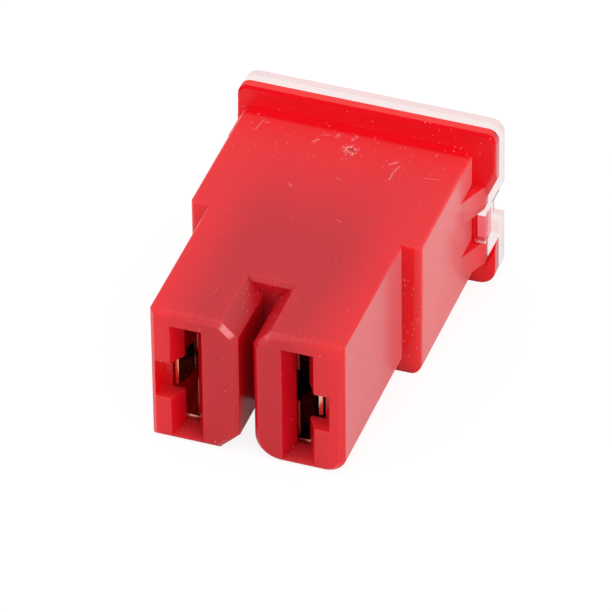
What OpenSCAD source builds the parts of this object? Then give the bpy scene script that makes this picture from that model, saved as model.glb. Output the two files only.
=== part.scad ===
// Low-profile cartridge fuse with two female terminals, in millimetres.
// It lies on its broad face: X is its width, Y its length with the open leg
// ends at -Y and the clear cover at +Y, and Z its thickness.
// The origin is the middle of the bounding box, on the face that it lies on.

/* [Housing] */
// Width of the upper housing
body_w = 16; // [13.3:0.1:19.2]
// Thickness of the housing
body_t = 10.6; // [8.8:0.1:12.8]
// Length from the open ends to the near face of the flange
body_l = 22; // [18.3:0.1:26.5]
// Length of the narrower part that carries the two legs
leg_l = 11.45; // [9.5:0.05:13.8]
// Step from the side of the legs to the side of the upper housing
shoulder = 1.3; // [1:0.05:1.6]
// How much narrower the legs are at each side of their open ends
leg_taper = 0.05; // [0:0.01:0.2]
// Rounding of the lower edges of the upper housing
low_edge_r = 0.75; // [0.5:0.05:0.9]
// Rounding of the upper edges of the upper housing
high_edge_r = 0.3; // [0.2:0.05:0.5]
// Rounding of the lower outer edge of the left leg
leg_left_r = 0.3; // [0.2:0.05:0.8]
// Rounding of the lower outer edge of the right leg
leg_right_r = 1.5; // [1.25:0.05:1.8]
// Rounding of the upper outer edges of the legs
leg_high_r = 0.3; // [0.1:0.05:0.5]
// Rounding of the upright edges at the shoulders
shoulder_r = 0.5; // [0.2:0.05:0.8]
// Bevel around the open ends of the legs
end_bevel = 0.35; // [0.2:0.05:0.45]

/* [Gap between the legs] */
// Width of the gap between the legs
gap_w = 1.02; // [0.8:0.02:1.3]
// Depth of the gap, measured from the open ends
gap_l = 5.25; // [4.3:0.05:6.3]
// Chamfer along the upper edges of the gap
gap_chamfer = 1.22; // [0.9:0.02:1.5]
// Chamfer along the lower edge of the left leg
gap_chamfer_low = 1.4; // [1.1:0.05:1.7]
// Rounding along the lower edge of the right leg
gap_round = 1.8; // [1.5:0.05:2.3]
// Chamfer at the closed end of the gap
gap_end_chamfer = 0.36; // [0.2:0.02:0.5]
// How far the gap sits to the right of the middle of the housing
gap_shift = -0.1; // [-0.2:0.02:0.2]

/* [Terminal openings] */
// Width of each opening, for a blade 0.8 mm thick
slot_w = 0.95; // [0.84:0.01:1.2]
// Wall below the openings
slot_floor = 0.95; // [0.8:0.05:1.2]
// Wall above the openings
slot_roof = 1.7; // [1.4:0.05:2.1]
// Spread of the funnel in front of each opening, to each side
mouth_side = 0.65; // [0.5:0.05:0.8]
// Depth of the funnel
mouth_l = 1.05; // [0.85:0.05:1.25]
// Thickness of the end wall of each leg
end_wall = 1.35; // [1.1:0.05:1.65]
// Height of the recess on the outer side of each opening
recess_h = 2.87; // [2.3:0.01:3.5]
// Reach of that recess from the middle of the opening
recess_reach = 2.15; // [1.8:0.01:2.5]
// Wall between the right recess and the side of its leg
wall_right = 1.06; // [0.9:0.01:1.35]

/* [Terminal pockets] */
// Reach of each pocket from the middle of the opening, towards the gap
pocket_in = 1.05; // [0.9:0.05:1.25]
// Reach of each pocket from the middle of the opening, towards the side
pocket_out = 1.45; // [1.2:0.05:1.7]
// Length from the open ends to where the pockets widen
chamber_l = 8; // [7:0.1:9.6]
// Thickness of the wall between the two widened pockets
divider_w = 1.2; // [0.9:0.1:1.5]
// Depth of the room for the link, measured from the face under the cover
link_room = 5.8; // [4.9:0.1:7]

/* [Head] */
// Thickness of the flange
flange_t = 0.8; // [0.65:0.05:1]
// Reach of the flange past the left side of the housing
flange_left = 0.45; // [0.35:0.05:0.6]
// Reach of the flange past the right side of the housing
flange_right = 1.65; // [1.35:0.05:2]
// Rise of the flange above the upper face of the housing
flange_rise = 1.87; // [1.5:0.01:2.3]
// Corner radius at the upper corners of the flange
flange_r_high = 0.75; // [0.4:0.05:1]
// Corner radius at the lower corners of the flange and the cover
flange_r_low = 1.2; // [0.9:0.1:1.5]
// Fillet between the upper face of the housing and the flange
neck_fillet = 0.45; // [0.3:0.05:0.6]
// Depth of the keying notch in the flange
key_depth = 0.77; // [0.6:0.01:0.95]
// Height of the keying notch
key_h = 5.08; // [4.2:0.02:6.1]
// Drop of the notch's lower end below the middle of the openings
key_drop = 3.17; // [2.6:0.01:3.8]
// Lean of the two ends of the keying notch from upright
key_lean = 22.5; // [18:0.5:27]
// Bevel on the upper end of the keying notch
key_bevel_high = 0.4; // [0.2:0.05:0.5]
// Bevel on the lower end of the keying notch
key_bevel_low = 0.2; // [0.1:0.05:0.3]

/* [Ribs beside the snap arms] */
// Width of each right-hand rib
rib_w = 1.9; // [1.5:0.05:2.3]
// Length of the right-hand ribs
rib_l = 2.28; // [1.9:0.02:2.8]
// Width of the lower left-hand rib
left_rib_low_w = 1.9; // [1.5:0.05:2.3]
// Width of the upper left-hand rib
left_rib_high_w = 3.3; // [2.7:0.05:3.9]
// Length of the left-hand ribs
left_rib_l = 2.08; // [1.7:0.02:2.5]

/* [Clear cover] */
// Height of the cover over the flange
cover_h = 1.25; // [1.05:0.05:1.5]
// Thickness of the cover's end plate
cover_plate = 0.63; // [0.5:0.01:0.8]
// Width of the rim that stands on the flange
cover_rim = 0.95; // [0.8:0.05:1.15]
// Corner radius at the upper corners of the cover
cover_r = 0.95; // [0.7:0.05:1.2]
// Height of the keying notch in the cover, at its outer edge
cover_key_h = 2.55; // [2.2:0.05:3]
// Width of each snap arm
arm_w = 2.55; // [2.1:0.05:3.1]
// Thickness of each snap arm
arm_t = 0.65; // [0.55:0.05:0.8]
// How far the right-hand arm stands out of the keying notch
arm_proud = 0.22; // [0.1:0.02:0.3]
// How far the left-hand arm sits inside the edge of the flange
arm_inset = 0.03; // [0:0.01:0.1]
// Reach of a snap arm below the near face of the flange
arm_reach = 0.35; // [0.3:0.01:0.45]
// Depth of the hook on each snap arm
hook = 0.24; // [0.2:0.01:0.3]

/* [Fuse element] */
// Thickness of the copper-alloy strip
sheet_t = 0.3; // [0.24:0.02:0.36]
// Length of each folded terminal
terminal_l = 10.4; // [8.7:0.1:12]
// Length of the lips at the top and bottom of each terminal
lip_l = 5.2; // [4.3:0.1:6.2]
// Height of the spring tongue on the outer side
tongue_h = 2.6; // [2.2:0.05:3.1]
// Length of the spring tongue
tongue_l = 6.1; // [5.1:0.1:7.3]
// Height of the lower contact bow on the inner side
bow_low_h = 2.9; // [2.4:0.05:3.5]
// Height of the upper contact bow
bow_high_h = 1.3; // [1.1:0.05:1.5]
// Length of the contact bows
bow_l = 4.6; // [3.9:0.1:5.5]
// Width of the strip between a terminal and the link
strap_w = 3; // [2.5:0.1:3.6]
// Width of the link at its two necks
neck_w = 1; // [0.8:0.05:1.2]
// Distance from the link to the face under the cover
link_drop = 1.1; // [0.9:0.05:1.3]
// Depth of the dip in the link
link_dip = 2; // [1.7:0.05:2.4]

/* [Tin pellet] */
// Diameter of the pellet's two heads
pellet_d = 1.8; // [1.5:0.05:2.15]
// Thickness of each head
pellet_head = 0.45; // [0.35:0.05:0.55]
// Diameter of the shank, which fills the hole in the link
pellet_shank = 1; // [0.8:0.05:1.2]

/* [Fits] */
// Clearance between the snap arms and the housing
arm_gap = 0.06; // [0.04:0.01:0.08]
// Clearance between the fuse element and the sides of its pockets
pocket_gap = 0.08; // [0.05:0.01:0.1]

/* [Hidden] */
$fn = 48;
cut = 0.5;      // how far a cutting shape runs past the surface that it cuts
join = 0.3;     // how far a rib is rooted in the wall that carries it
tip = 0.08;     // break of the edges at the tip of a snap arm

// Overall sizes
head_w = body_w + flange_left + flange_right;
head_t = body_t + flange_rise;
total_l = body_l + flange_t + cover_h;

// Stations along Y
end_y = -total_l / 2;
shoulder_y = end_y + leg_l;
flange_y = end_y + body_l;
cover_y = flange_y + flange_t;
top_y = cover_y + cover_h;
plate_y = top_y - cover_plate;
pocket_y = end_y + end_wall;
divider_y = cover_y - link_room;

// Stations along X
head_right = head_w / 2;
body_x = (flange_left - flange_right) / 2;
body_left = body_x - body_w / 2;
body_right = body_x + body_w / 2;
leg_left = body_left + shoulder;
leg_right = body_right - shoulder;
gap_x = body_x + gap_shift;
// The left recess starts at the edge of the bevel on its leg.
wall_left = leg_taper + end_bevel;
socket_x = [leg_left + wall_left + recess_reach, leg_right - wall_right - recess_reach];
room_left = socket_x[0] - pocket_out;
room_right = socket_x[1] + pocket_out;
key_x = head_right - key_depth;
hollow_r = cover_r / 2;

// Stations along Z
slot_h = body_t - slot_floor - slot_roof;
// The funnels reach down to the edge of the bevel below them.
mouth_end = slot_floor - end_bevel;
slot_top = slot_floor + slot_h;
mid_z = slot_floor + slot_h / 2;
arm_low = mid_z - arm_w / 2;
arm_high = mid_z + arm_w / 2;
way_low = arm_low - arm_gap;
way_high = arm_high + arm_gap;
key_low = mid_z - key_drop;

// Snap arms: inner faces of the right-hand and of the left-hand one
arm_in_right = key_x + arm_proud - arm_t;
arm_in_left = head_right - arm_inset - arm_t;

// Folded terminal, measured outwards from the middle of its opening
plate_in = -pocket_in + pocket_gap;
plate_out = pocket_out - pocket_gap;
plate_low = slot_floor + pocket_gap;
plate_high = slot_top - pocket_gap;
terminal_y = pocket_y + terminal_l;
plate_set = 0.2;        // how far the plates stand behind the end wall
tail = 0.4;             // straight end of a bow or a tongue on its plate

// Contact bow: a straight start, an easy lead in and the bow itself
bow_edge = 0.5;         // from the edge of the plate to each bow
bow_start = -0.45;      // where the bow begins, beside the opening
bow_straight = 0.4;     // length of its straight start
bow_lead_r = 1.6;       // radius of the lead
bow_lead = 34;          // angle that the lead turns through
bow_r = 0.75;           // radius of the bow
bow_step = 6;           // angle from the end of the lead to the next point
bow_turn = 54;          // angle at which the bow runs back to the plate

// Spring tongue: a flared tip and one round turn towards the blade
tongue_tip = 1.14;      // where the tip begins, beside the opening
tongue_x = 1.05;        // centre of the turn, across the opening
tongue_y = 2.2;         // centre of the turn, behind the end wall
tongue_r = 0.75;        // radius of the turn
tongue_turn = 55;       // half of the angle of the turn

// Link, bent in plan
strap_x = [socket_x[0] - plate_out + sheet_t / 2, socket_x[1] + plate_out - sheet_t / 2];
link_y = cover_y - link_drop;
pad_y = link_y - link_dip;
bend_r = 0.9;           // bends between the straps and the link
dip_r = 0.5;            // bends at the top of the dip
pad_r = 0.3;            // bends beside the pad
pad_rim = 0.05;         // flat of the pad around the pellet
pad_half = pellet_d / 2 + pad_r + pad_rim;
dip_half = pad_half + dip_r;
dip_x = (strap_x[0] + strap_x[1]) / 2;
half_span = (strap_x[1] - strap_x[0]) / 2;
neck_x = (dip_half + half_span - bend_r) / 2;

// ---------------------------------------------------------------- helpers

// A flat shape drawn in X and Z, made into a slab from y0 to y1.
module slab(y0, y1) {
    translate([0, y1, 0])
        rotate([90, 0, 0])
            linear_extrude(height = y1 - y0)
                children();
}

// A flat shape drawn in Y and Z, made into a slab from x0 to x1.
module side_slab(x0, x1) {
    translate([x0, 0, 0])
        rotate([90, 0, 90])
            linear_extrude(height = x1 - x0)
                children();
}

// A flat shape drawn in X and Y, made into a slab from z0 to z1.
module plan_slab(z0, z1) {
    translate([0, 0, z0])
        linear_extrude(height = z1 - z0)
            children();
}

// A block between two corners.
module block(a, b) {
    translate(a)
        cube(b - a);
}

// What is taken off a square corner at the origin to round it.
module corner_waste(r) {
    difference() {
        translate([-r, -r])
            square(r + cut);
        translate([-r, -r])
            circle(r);
    }
}

// A rectangle from the low corner a to the high corner b, with its two lower
// and its two upper corners rounded.
module soft_rect(a, b, r_low, r_high) {
    difference() {
        translate(a)
            square(b - a);
        if (r_high > 0) {
            translate(b)
                corner_waste(r_high);
            translate([a[0], b[1]])
                mirror([1, 0])
                    corner_waste(r_high);
        }
        if (r_low > 0) {
            translate([b[0], a[1]])
                mirror([0, 1])
                    corner_waste(r_low);
            translate(a)
                rotate(180)
                    corner_waste(r_low);
        }
    }
}

// Points of an arc, turned from angle a0 to angle a1 in the given steps.
function arc(centre, r, a0, a1, steps) =
    [for (i = [0 : steps]) let (a = a0 + (a1 - a0) * i / steps) centre + r * [cos(a), sin(a)]];

// Unit normal of a path at point i, square to the line between its neighbours.
function path_normal(path, i) =
    let (
        a = path[max(i - 1, 0)],
        b = path[min(i + 1, len(path) - 1)],
        d = (b - a) / norm(b - a)
    ) [-d[1], d[0]];

// Outline of a strip of the sheet's thickness that follows a path.
module strip(path) {
    last = len(path) - 1;
    one_side = [for (i = [0 : last]) path[i] + path_normal(path, i) * sheet_t / 2];
    other_side = [for (i = [last : -1 : 0]) path[i] - path_normal(path, i) * sheet_t / 2];
    polygon(concat(one_side, other_side));
}

// ---------------------------------------------------------------- housing

// The legs in plan: their sides taper, and the open ends are bevelled.
module legs_plan() {
    left = leg_left + leg_taper;
    right = leg_right - leg_taper;
    polygon([
        [left, end_y + end_bevel],
        [left + end_bevel, end_y],
        [right - end_bevel, end_y],
        [right, end_y + end_bevel],
        [leg_right, shoulder_y],
        [leg_right, shoulder_y + cut],
        [leg_left, shoulder_y + cut],
        [leg_left, shoulder_y]
    ]);
}

// Side view of the legs, with the open ends bevelled above and below.
module legs_side() {
    polygon([
        [end_y, end_bevel],
        [end_y + end_bevel, 0],
        [shoulder_y + cut, 0],
        [shoulder_y + cut, body_t],
        [end_y + end_bevel, body_t],
        [end_y, body_t - end_bevel]
    ]);
}

// The closed envelope: the legs, and the upper housing with rounded shoulders.
module housing_envelope() {
    intersection() {
        plan_slab(0, body_t)
            legs_plan();
        side_slab(leg_left, leg_right)
            legs_side();
        slab(end_y, shoulder_y + cut)
            soft_rect([leg_left, 0], [leg_right + leg_left_r, body_t], leg_left_r, 0);
        slab(end_y, shoulder_y + cut)
            soft_rect([leg_left - leg_right_r, 0], [leg_right, body_t], leg_right_r, 0);
        slab(end_y, shoulder_y + cut)
            soft_rect([leg_left, -body_t], [leg_right, body_t], 0, leg_high_r);
    }
    intersection() {
        plan_slab(0, body_t)
            soft_rect([body_left, shoulder_y], [body_right, flange_y], shoulder_r, 0);
        slab(shoulder_y, flange_y)
            soft_rect([body_left, 0], [body_right, body_t], low_edge_r, high_edge_r);
    }
}

// Keying notch with both ends leaning the same way, from z = low upwards.
module leaning_notch(low, height, foot) {
    run = key_depth + cut;
    rise = run / tan(key_lean);
    polygon([
        [key_x, low],
        [key_x + run, low + foot * rise],
        [key_x + run, low + height + rise],
        [key_x, low + height]
    ]);
}

// Bevel along one leaning end of the notch, on the face towards the legs.
module notch_bevel(low, size) {
    side = size * sqrt(2);
    translate([key_x, flange_y, low])
        rotate([0, key_lean, 0])
            rotate([0, 0, 45])
                cube([side, side, 4 * key_h], center = true);
}

module flange() {
    difference() {
        slab(flange_y, cover_y)
            difference() {
                soft_rect([-head_right, 0], [head_right, head_t], flange_r_low, flange_r_high);
                leaning_notch(key_low, key_h, 1);
            }
        intersection() {
            union() {
                notch_bevel(key_low, key_bevel_low);
                notch_bevel(key_low + key_h, key_bevel_high);
            }
            block([key_x, flange_y - cut, 0], [head_right + cut, cover_y, head_t]);
        }
    }
}

// Fillet where the upper face of the housing meets the flange.
module flange_fillet() {
    left = body_left + high_edge_r;
    right = body_right - high_edge_r;
    difference() {
        block([left, flange_y - neck_fillet, body_t - join],
              [right, flange_y + join, body_t + neck_fillet]);
        translate([left - cut, flange_y - neck_fillet, body_t + neck_fillet])
            rotate([0, 90, 0])
                cylinder(r = neck_fillet, h = right - left + 2 * cut);
    }
}

// Right-hand ribs: ramps that rise to the neck of the keying notch.
module right_ribs() {
    for (low = [way_low - rib_w, way_high])
        plan_slab(low, low + rib_w)
            polygon([
                [body_right - join, flange_y - rib_l],
                [body_right, flange_y - rib_l],
                [key_x, flange_y],
                [key_x, flange_y + join],
                [body_right - join, flange_y + join]
            ]);
}

// Left-hand ribs: blocks as deep as the flange reaches on that side.
module left_ribs() {
    for (range = [[way_low - left_rib_low_w, way_low], [way_high, way_high + left_rib_high_w]])
        plan_slab(range[0], range[1])
            polygon([
                [body_left + join, flange_y - left_rib_l],
                [body_left, flange_y - left_rib_l],
                [-head_right, flange_y - left_rib_l + flange_left / 2],
                [-head_right, flange_y + join],
                [body_left + join, flange_y + join]
            ]);
}

// Section of the gap. Below, the left leg is chamfered and the right one round.
module gap_section() {
    half = gap_w / 2;
    flare = half + gap_chamfer + cut;
    polygon([
        [-half - gap_chamfer_low - cut, -cut],
        [half, -cut],
        [half, body_t - gap_chamfer],
        [flare, body_t + cut],
        [-flare, body_t + cut],
        [-half, body_t - gap_chamfer],
        [-half, gap_chamfer_low]
    ]);
    difference() {
        translate([0, -cut])
            square([half + gap_round, gap_round + cut]);
        translate([half + gap_round, gap_round])
            circle(gap_round);
    }
}

// Room for the gap, with its closed end chamfered above and below.
module leg_gap() {
    far = end_y + gap_l + gap_end_chamfer + cut;
    reach = gap_w / 2 + gap_round + gap_chamfer;
    intersection() {
        slab(end_y - cut, far)
            translate([gap_x, 0])
                gap_section();
        side_slab(gap_x - reach, gap_x + reach)
            polygon([
                [end_y - cut, -cut],
                [far, -cut],
                [end_y + gap_l, gap_end_chamfer],
                [end_y + gap_l, body_t - gap_end_chamfer],
                [far, body_t + cut],
                [end_y - cut, body_t + cut]
            ]);
    }
}

// Bevel on the open end along one flat face of a leg. The face passes through
// the given point in X and Z, and it looks towards the given angle.
module leg_end_bevel(point, angle, length) {
    size = 2 * end_bevel;
    translate([point[0], end_y, point[1]])
        rotate([0, -angle, 0])
            translate([-end_bevel / 2, end_bevel / 2, 0])
                rotate([0, 0, -45])
                    translate([0, -size / 2, -length / 2])
                        cube([size, size, length]);
}

// The same bevels on the side of the gap.
module gap_side_bevels() {
    half = gap_w / 2;
    slope = gap_chamfer * sqrt(2) + cut;
    slope_low = gap_chamfer_low * sqrt(2) + cut;
    run = body_t - gap_chamfer - gap_round;
    for (side = [0, 1])
        mirror([side, 0, 0]) {
            leg_end_bevel([half, gap_round + run / 2], 180, run + cut);
            leg_end_bevel([half + gap_chamfer / 2, body_t - gap_chamfer / 2], 135, slope);
        }
    leg_end_bevel([-half, gap_round], 0, gap_round);
    leg_end_bevel([-half - gap_chamfer_low / 2, gap_chamfer_low / 2], -45, slope_low);
    difference() {
        block([half - cut, end_y - cut, -cut],
              [half + gap_round, end_y + end_bevel, gap_round]);
        translate([half + gap_round, end_y + end_bevel, gap_round])
            rotate([90, 0, 0])
                cylinder(r1 = gap_round, r2 = gap_round - end_bevel - cut, h = end_bevel + cut);
    }
}

// The bevel on the open end, around the rounded lower corner of the right leg.
module right_corner_bevel() {
    axis_x = leg_right - leg_right_r;
    difference() {
        block([axis_x, end_y - cut, -cut],
              [leg_right + cut, end_y + end_bevel, leg_right_r]);
        translate([axis_x, end_y + end_bevel, leg_right_r])
            rotate([90, 0, 0])
                cylinder(r1 = leg_right_r, r2 = leg_right_r - end_bevel - cut,
                         h = end_bevel + cut);
    }
}

// Everything that is cut out for one terminal. The shape is drawn with the
// outer side of the leg towards +X.
module terminal_room() {
    half = slot_w / 2;
    far = end_wall + cut;
    side_slope = mouth_side / mouth_l;
    end_slope = mouth_end / mouth_l;
    intersection() {
        translate([0, end_y, 0])
            plan_slab(-cut, body_t + cut)
                polygon([
                    [-half - mouth_side - side_slope * cut, -cut],
                    [half + mouth_side + side_slope * cut, -cut],
                    [half, mouth_l],
                    [half, far],
                    [-half, far],
                    [-half, mouth_l]
                ]);
        translate([0, end_y, 0])
            side_slab(-half - 2 * mouth_side, half + 2 * mouth_side)
                polygon([
                    [-cut, slot_floor - mouth_end - end_slope * cut],
                    [mouth_l, slot_floor],
                    [far, slot_floor],
                    [far, slot_top],
                    [mouth_l, slot_top],
                    [-cut, slot_top + mouth_end + end_slope * cut]
                ]);
    }
    block([0, end_y - cut, mid_z - recess_h / 2],
          [recess_reach, pocket_y, mid_z + recess_h / 2]);
    block([-pocket_in, pocket_y, slot_floor],
          [pocket_out, divider_y + cut, slot_top]);
}

// Widened pockets, and the open head where the link sits.
module head_room() {
    middle = (room_left + room_right) / 2;
    chamber_y = end_y + chamber_l;
    block([room_left, chamber_y, slot_floor],
          [middle - divider_w / 2, divider_y + cut, slot_top]);
    block([middle + divider_w / 2, chamber_y, slot_floor],
          [room_right, divider_y + cut, slot_top]);
    block([room_left, divider_y, slot_floor],
          [room_right, cover_y + cut, slot_top]);
}

// Way for one snap arm through the flange, with room for its hook.
module arm_way(inner, outer) {
    block([inner - arm_gap, flange_y - cut, way_low],
          [outer, cover_y + cut, way_high]);
    block([inner - hook - arm_gap, flange_y - arm_reach - arm_gap, way_low],
          [outer, flange_y, way_high]);
}

module housing() {
    color([0.80, 0.10, 0.13])
        difference() {
            union() {
                housing_envelope();
                flange();
                flange_fillet();
                right_ribs();
                left_ribs();
            }
            leg_gap();
            translate([gap_x, 0, 0])
                gap_side_bevels();
            right_corner_bevel();
            for (i = [0, 1])
                translate([socket_x[i], 0, 0])
                    mirror([1 - i, 0, 0])
                        terminal_room();
            head_room();
            arm_way(arm_in_right, head_right + cut);
            mirror([1, 0, 0])
                arm_way(arm_in_left, head_right + cut);
        }
}

// ------------------------------------------------------------------ cover

// Hollow inside the rim. It leaves a rim around the notch as well.
module cover_hollow() {
    difference() {
        soft_rect([cover_rim - head_right, cover_rim],
                  [head_right - cover_rim, head_t - cover_rim], hollow_r, hollow_r);
        translate([key_x - cover_rim, arm_low])
            square([cover_rim + cut, cover_key_h + 2 * cover_rim]);
    }
}

// One snap arm, drawn in plan with its outer side towards +X.
module snap_arm(inner) {
    outer = inner + arm_t;
    hook_y = flange_y - arm_gap;
    tip_y = flange_y - arm_reach;
    plan_slab(arm_low, arm_high)
        polygon([
            [inner, plate_y],
            [inner, hook_y],
            [inner - hook, hook_y],
            [inner - hook, hook_y - tip],
            [inner, tip_y],
            [outer - tip, tip_y],
            [outer, tip_y + tip],
            [outer, plate_y]
        ]);
}

module cover() {
    color([0.93, 0.95, 0.96, 0.45])
        union() {
            difference() {
                slab(cover_y, top_y)
                    difference() {
                        soft_rect([-head_right, 0], [head_right, head_t], flange_r_low, cover_r);
                        leaning_notch(mid_z, cover_key_h - key_depth / tan(key_lean), 0);
                    }
                slab(cover_y - cut, plate_y)
                    cover_hollow();
            }
            snap_arm(arm_in_right);
            mirror([1, 0, 0])
                snap_arm(arm_in_left);
        }
}

// ----------------------------------------------------------- fuse element

// Path of a contact bow: it leaves the opening along the plate, eases across
// to the blade and comes back to the plate.
function bow_path() =
    let (
        lead_x = bow_start + bow_lead_r,
        lead_y = pocket_y + bow_straight,
        turn = [cos(bow_lead), sin(bow_lead)],
        bend = [lead_x, lead_y] + (bow_lead_r + bow_r) * [-turn[0], turn[1]],
        back_x = plate_in + sheet_t / 2
    )
    concat(
        [[bow_start, pocket_y]],
        arc([lead_x, lead_y], bow_lead_r, 180, 180 - bow_lead, 5),
        arc(bend, bow_r, bow_step - bow_lead, bow_turn, 6),
        [[back_x, pocket_y + bow_l - tail], [back_x, pocket_y + bow_l]]
    );

// Path of the spring tongue, from its flared tip back to the outer plate.
function tongue_path() =
    let (back_x = plate_out - sheet_t / 2)
    concat(
        [[tongue_tip, pocket_y]],
        arc([tongue_x, pocket_y + tongue_y], tongue_r, 180 + tongue_turn, 180 - tongue_turn, 8),
        [[back_x, pocket_y + tongue_l], [back_x, pocket_y + tongue_l + tail]]
    );

// One folded terminal, drawn with the outer side of the leg towards +X.
module terminal() {
    plate_y0 = pocket_y + plate_set;
    block([plate_in, plate_y0, plate_low], [plate_in + sheet_t, terminal_y, plate_high]);
    block([plate_out - sheet_t, pocket_y + tongue_l, plate_low], [plate_out, terminal_y, plate_high]);
    block([plate_in, terminal_y - sheet_t, plate_low], [plate_out, terminal_y, plate_high]);
    for (z = [plate_low, plate_high - sheet_t])
        block([plate_in, pocket_y, z], [plate_out - 2 * sheet_t, pocket_y + lip_l, z + sheet_t]);
    plan_slab(mid_z - tongue_h / 2, mid_z + tongue_h / 2)
        strip(tongue_path());
    plan_slab(plate_low + bow_edge, plate_low + bow_edge + bow_low_h)
        strip(bow_path());
    plan_slab(plate_high - bow_edge - bow_high_h, plate_high - bow_edge)
        strip(bow_path());
}

// Path of the link in plan: up one strap, down through the dip and back.
function link_path() =
    concat(
        [[strap_x[0], terminal_y - sheet_t]],
        arc([strap_x[0] + bend_r, link_y - bend_r], bend_r, 180, 90, 6),
        arc([dip_x - dip_half, link_y - dip_r], dip_r, 90, 0, 4),
        arc([dip_x - pad_half + pad_r, pad_y + pad_r], pad_r, 180, 270, 4),
        arc([dip_x + pad_half - pad_r, pad_y + pad_r], pad_r, 270, 360, 4),
        arc([dip_x + dip_half, link_y - dip_r], dip_r, 180, 90, 4),
        arc([strap_x[1] - bend_r, link_y - bend_r], bend_r, 90, 0, 6),
        [[strap_x[1], terminal_y - sheet_t]]
    );

// Straps and link, with the two necks and the hole for the pellet.
module link() {
    half = strap_w / 2;
    difference() {
        plan_slab(mid_z - half, mid_z + half)
            strip(link_path());
        translate([dip_x, cover_y, mid_z])
            rotate([90, 0, 0]) {
                cylinder(d = pellet_shank, h = link_room);
                for (x = [-1, 1], z = [-1, 1])
                    translate([x * neck_x, z * half, 0])
                        cylinder(d = strap_w - neck_w, h = link_drop + sheet_t);
            }
    }
}

module fuse_element() {
    color([0.80, 0.50, 0.36])
        union() {
            for (i = [0, 1])
                translate([socket_x[i], 0, 0])
                    mirror([1 - i, 0, 0])
                        terminal();
            link();
        }
}

// ------------------------------------------------------------- tin pellet

module tin_pellet() {
    color([0.72, 0.73, 0.74])
        translate([dip_x, pad_y, mid_z])
            rotate([90, 0, 0]) {
                cylinder(d = pellet_shank, h = sheet_t + pellet_head, center = true);
                for (side = [-1, 1])
                    translate([0, 0, side * (sheet_t + pellet_head) / 2])
                        cylinder(d = pellet_d, h = pellet_head, center = true);
            }
}

housing();
cover();
fuse_element();
tin_pellet();
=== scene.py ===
"""Finishes a low-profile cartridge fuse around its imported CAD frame.

Run it in Blender as a script. It builds the four pieces of the fuse and a
small studio. All sizes are in metres, in the frame of the CAD model.
"""

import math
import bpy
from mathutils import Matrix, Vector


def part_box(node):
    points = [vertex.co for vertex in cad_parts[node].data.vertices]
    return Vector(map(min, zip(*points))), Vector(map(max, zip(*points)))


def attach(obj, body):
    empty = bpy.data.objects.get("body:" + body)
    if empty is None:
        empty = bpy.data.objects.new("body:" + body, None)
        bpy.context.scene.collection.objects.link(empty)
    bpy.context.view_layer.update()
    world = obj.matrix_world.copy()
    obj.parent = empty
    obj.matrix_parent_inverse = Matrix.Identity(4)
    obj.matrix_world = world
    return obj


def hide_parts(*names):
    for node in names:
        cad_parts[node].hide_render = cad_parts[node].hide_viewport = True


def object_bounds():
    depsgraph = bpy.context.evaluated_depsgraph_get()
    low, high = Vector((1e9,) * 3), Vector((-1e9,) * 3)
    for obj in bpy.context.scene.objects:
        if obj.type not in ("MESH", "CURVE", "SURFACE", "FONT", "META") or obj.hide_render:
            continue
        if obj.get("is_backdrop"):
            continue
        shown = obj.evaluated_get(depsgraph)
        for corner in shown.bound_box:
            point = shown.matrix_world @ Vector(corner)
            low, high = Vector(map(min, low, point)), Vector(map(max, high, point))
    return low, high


bl_info = {
    "name": "Cartridge Fuse",
    "version": (1, 0, 0),
    "blender": (4, 5, 0),
    "location": "3D View > Sidebar > Fuse",
    "description": "Builds the finished pieces of a low-profile cartridge fuse",
    "category": "Object",
}

import bmesh
import bpy
from bpy.props import FloatProperty, FloatVectorProperty, IntProperty, PointerProperty
from bpy.types import Operator, Panel, PropertyGroup
from mathutils import Matrix, Vector, noise

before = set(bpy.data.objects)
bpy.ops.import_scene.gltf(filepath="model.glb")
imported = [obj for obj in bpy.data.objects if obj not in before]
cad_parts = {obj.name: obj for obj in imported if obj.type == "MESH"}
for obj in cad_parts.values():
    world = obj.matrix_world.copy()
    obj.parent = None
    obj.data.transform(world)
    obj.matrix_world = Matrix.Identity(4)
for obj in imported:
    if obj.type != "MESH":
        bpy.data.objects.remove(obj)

MM = 0.001
CAD_LOW, CAD_HIGH = (Vector(corner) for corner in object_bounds())

# Landmarks of the frame, from the boxes of the CAD pieces.
HOUSING_LOW, HOUSING_HIGH = (Vector(corner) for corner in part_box("housing"))
COVER_HIGH = Vector(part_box("cover")[1])
UPPER_FACE = HOUSING_LOW.z + 10.6 * MM      # level of the housing's upper face
FLANGE_FACE = HOUSING_HIGH.y - 0.8 * MM     # near face of the flange
RECESS_FLOOR = HOUSING_LOW.y + 1.35 * MM    # where the recesses of the open ends stop
RECESS_HEIGHT = 2.87 * MM
NOTCH_TOP = 9.5 * MM                        # the flange's rim has no notch above this
BODY_MIDDLE = -0.6 * MM                     # middle of the housing without its flange
GAP_MIDDLE = -0.7 * MM                      # middle between the two terminals
HOOK_TIP = COVER_HIGH.x - 1.4 * MM          # inner end of the right snap arm's hook
ARM_MIDDLE = HOUSING_LOW.z + 4.925 * MM     # middle of the height of the snap arms
GATE = Vector((-0.40 * MM, 7.93 * MM, UPPER_FACE))  # where the mould was filled


# ------------------------------------------------------------------ settings


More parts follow.
